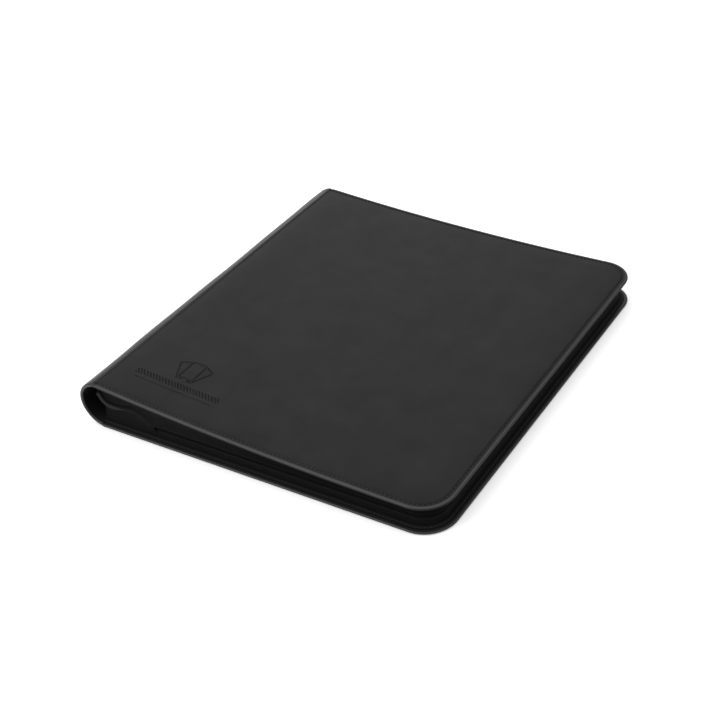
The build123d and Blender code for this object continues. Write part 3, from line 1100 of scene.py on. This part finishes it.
def build_slider():
    """Two plates with lips, the post between them and the arch that holds the pull."""
    shape = Shape()
    for side in (1, -1):
        shape.rings([[zip_place(u, v, side * depth) for u, v in slider_outline(shrink)]
                     for depth, shrink in PLATE_LINE])
        for edge in (1, -1):
            lip = []
            for u, low, high in LIP_LINE:
                corners = ((low, LIP_INNER), (high, LIP_INNER), (high, LIP_OUTER), (low, LIP_OUTER))
                lip.append([zip_place(u, edge * v, side * w) for v, w in corners])
            shape.rings(lip)
    shape.prism(POST, zip_place, -LIP_OUTER, LIP_OUTER)
    rings = []
    for step in range(17):
        turn = pi * step / 16
        flat = copysign(abs(cos(turn)) ** 0.6, cos(turn))
        lift = abs(sin(turn)) ** 0.6
        outer = (4.5 * flat, 2.0 + 2.95 * lift)
        inner = (3.3 * flat, 2.0 + 2.1 * lift)
        corners = ((outer, -1), (outer, 1), (inner, 1), (inner, -1))
        rings.append([zip_place(u, way * ARCH_HALF, w) for (u, w), way in corners])
    shape.rings(rings)
    slider = make_piece("slider_body", shape, METAL, "slider", sharp=30)
    add_bevel(slider, 0.12, 2)
    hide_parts("zipper_slider")


def tab_outline(inset):
    """Pull outline: waisted near the eye, wide and round at the free end."""
    points = []
    for step in range(41):
        share = step / 40
        u = 5.6 + inset + (23.9 - 2 * inset) * share
        width = 2.3 + 1.2 * smooth_step(share, 0.08, 0.5)
        tip = sqrt(max(0.0, 1 - max(0.0, (share - 0.86) / 0.14) ** 2))
        points.append((u, max(0.05, (width - inset) * tip)))
    return points + [(u, -v) for u, v in reversed(points)]


PLATE_HALF = 0.6
RIBS = 5
PIN_RADIUS = 0.58


def build_pull():
    """The pull: a plate with a pressed border and ribs, two arms and a pin through the arch."""
    shape = Shape()
    face = CHAIN_OUT - (HALF - joint_place("pull_swing").y)
    section = ((-PLATE_HALF, 0.25), (-PLATE_HALF + 0.2, 0.0), (PLATE_HALF - 0.2, 0.0),
               (PLATE_HALF, 0.2), (PLATE_HALF, 0.75), (PLATE_HALF - 0.28, 1.05))
    shape.rings([[zip_place(u, v, face + w) for u, v in tab_outline(inset)] for w, inset in section])
    for rib in range(RIBS):
        u = 17.0 + rib * 1.9
        outline = rounded_bar((u, -1.7), (u + 0.8, 1.7), 0.39, 3)
        shape.prism(outline, zip_place, face + PLATE_HALF - 0.4, face + PLATE_HALF - 0.02)
    for edge in (1, -1):
        arm = [(u, edge * v) for u, v in ((-0.45, 1.45), (6.6, 1.45), (6.6, 2.25), (-0.45, 2.25))]
        shape.prism(arm, zip_place, face - PLATE_HALF + 0.1, face + PLATE_HALF - 0.1)
    turns = [pi * step / 6 for step in range(12)]
    shape.rings([[zip_place(PIN_RADIUS * cos(turn), v, face + PIN_RADIUS * sin(turn))
                  for turn in turns] for v in (-2.3, -1.2, 0.0, 1.2, 2.3)])
    pull = make_piece("pull_tab_plate", shape, METAL, "pull", sharp=30)
    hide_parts("pull_tab")


def build_zipper():
    build_tapes()
    build_hems()
    chain_row("zipper_teeth_lower", 0.0, 1, "back_cover", "lower_zipper_coil")
    chain_row("zipper_teeth_upper", TOOTH_PITCH / 2, -1, "front_cover", "upper_zipper_coil")
    build_slider()
    build_pull()


# ---------------- leaves

LEAVES = 20
COLUMNS = 4
ROWS = 3
LEAF_MARGIN = 8.0
LEAF_THICKNESS = 0.24
WELD = 1.2
CELL_LINES = 7  # grid lines a pocket has along its height
FILM_GAP = 0.025
FILM_LIFT = 0.085


def leaf_lines(low, count, pitch, open_side):
    """Grid lines across a row of pockets, with each line's lift and whether a slit follows."""
    lines = []
    for cell in range(count):
        start = low + cell * pitch
        shares = [(0.0, 0.0), (WELD, 0.0)]
        if open_side:
            shares += [(WELD + 0.7, 0.75)]
        shares += [(WELD + 2.0, 0.9), (pitch * 0.3, 1.0), (pitch * 0.7, 1.0),
                   (pitch - WELD - 2.0, 0.85), (pitch - WELD, 0.0)]
        for index, (offset, lift) in enumerate(shares):
            lines.append((start + offset, lift, open_side and index == 1))
    lines.append((low + count * pitch, 0.0, False))
    return lines


def build_leaf(number):
    node = f"leaf_{number:02d}"
    low, high = box_mm(node + "_sheet")
    hinge = joint_place(node + "_turn")
    width = high.x - hinge.x
    slope = asin((high.z - low.z - LEAF_THICKNESS) / width)
    turn = Matrix.Rotation(slope, 3, "Y")

    def place(u, v, w):
        return hinge + turn @ Vector((u, v, w))

    sheet = Shape()
    outline = rounded_bar((0.35, low.y), (width, high.y), 5.0, 5)
    sheet.prism(outline, place, -LEAF_THICKNESS / 2, LEAF_THICKNESS / 2)
    page = make_piece(node + "_page", sheet, SHEET, node, sharp=30)
    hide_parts(node + "_sheet")

    films = Shape()
    welded = []
    across = leaf_lines(LEAF_MARGIN, COLUMNS, (width - LEAF_MARGIN - 2) / COLUMNS, True)
    upward = leaf_lines(low.y + 4, ROWS, (high.y - low.y - 8) / ROWS, False)
    for side in (1, -1):
        points = []
        for u, lift_u, _ in across:
            for v, lift_v, _ in upward:
                lift = LEAF_THICKNESS / 2 + FILM_GAP + FILM_LIFT * min(lift_u, lift_v)
                points.append(place(u, v, side * lift))
        size = len(upward)
        faces = []
        for column in range(len(across) - 1):
            for row in range(size - 1):
                if across[column][2] and 0 < row % CELL_LINES < CELL_LINES - 1:
                    continue
                first = column * size + row
                faces.append([first, first + 1, first + size + 1, first + size])
                flat_u = across[column][1] + across[column + 1][1] == 0
                welded.append(flat_u or upward[row][1] + upward[row + 1][1] == 0)
        films.add(points, faces)
    pockets = make_piece(node + "_films", films, FILM, node)
    pockets.data.materials.append(WELDED_FILM)
    for face, is_welded in zip(pockets.data.polygons, welded):
        face.material_index = int(is_welded)
    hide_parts(node + "_pockets")


# ---------------- parts kept from the CAD

def finish_cad_nodes():
    stops = frame["nodes"]["zipper_stops"]
    stops.data.materials.clear()
    stops.data.materials.append(COIL)
    add_bevel(stops, 0.3)


# ---------------- room, lights and camera

FLOOR_GLOW = 0.22
FLOOR_DROP = 0.0001
WORLD_STRENGTH = 0.5


def build_room():
    bpy.ops.mesh.primitive_plane_add(size=8, location=(0, 0, -FLOOR_DROP))
    floor = bpy.context.object
    floor.name = "floor"
    pale = new_material("pale_floor", 0.9, Specular_IOR_Level=0.1, Base_Color=(0.92, 0.92, 0.92, 1),
                        Emission_Color=(1, 1, 1, 1), Emission_Strength=FLOOR_GLOW)
    floor.data.materials.append(pale)
    world = bpy.data.worlds.new("studio")
    world.use_nodes = True
    background = world.node_tree.nodes["Background"].inputs
    background["Color"].default_value = (1, 1, 1, 1)
    background["Strength"].default_value = WORLD_STRENGTH
    bpy.context.scene.world = world


def area_light(name, place, size, radiance):
    """A soft box that looks at the binder; its power follows from its size and radiance."""
    data = bpy.data.lights.new(name, "AREA")
    data.shape = "RECTANGLE"
    data.size, data.size_y = size
    data.energy = radiance * pi * size[0] * size[1]
    light = bpy.data.objects.new(name, data)
    light.location = place
    light.rotation_euler = (-Vector(place)).to_track_quat("-Z", "Y").to_euler()
    bpy.context.scene.collection.objects.link(light)


def build_lights():
    area_light("overhead", (0.0, 0.1, 2.5), (4.0, 4.0), 1.4)
    area_light("left_front", (-1.0, -1.15, 1.3), (1.2, 0.8), 4.0)
    area_light("left_back", (-0.9, 1.2, 0.75), (1.2, 0.6), 1.6)


CAMERA_PLACE = (0.51708, -0.71429, 0.61306)
CAMERA_AZIMUTH = 36.684
CAMERA_ELEVATION = 34.813
CAMERA_ROLL = -7.600
CAMERA_LENS = 65.18


def build_camera():
    data = bpy.data.cameras.new("camera")
    data.lens = CAMERA_LENS
    data.sensor_width = 36.0
    camera = bpy.data.objects.new("camera", data)
    turn = (Matrix.Rotation(radians(CAMERA_AZIMUTH), 4, "Z")
            @ Matrix.Rotation(radians(90 - CAMERA_ELEVATION), 4, "X")
            @ Matrix.Rotation(radians(CAMERA_ROLL), 4, "Z"))
    camera.matrix_world = Matrix.Translation(CAMERA_PLACE) @ turn
    bpy.context.scene.collection.objects.link(camera)
    bpy.context.scene.camera = camera


bpy.context.scene.view_settings.view_transform = "Standard"
build_camera()
build_room()
build_lights()
build_covers()
build_stitches()
spine_loop()
spine_inside()
build_zipper()
for leaf_number in range(1, LEAVES + 1):
    build_leaf(leaf_number)
finish_cad_nodes()
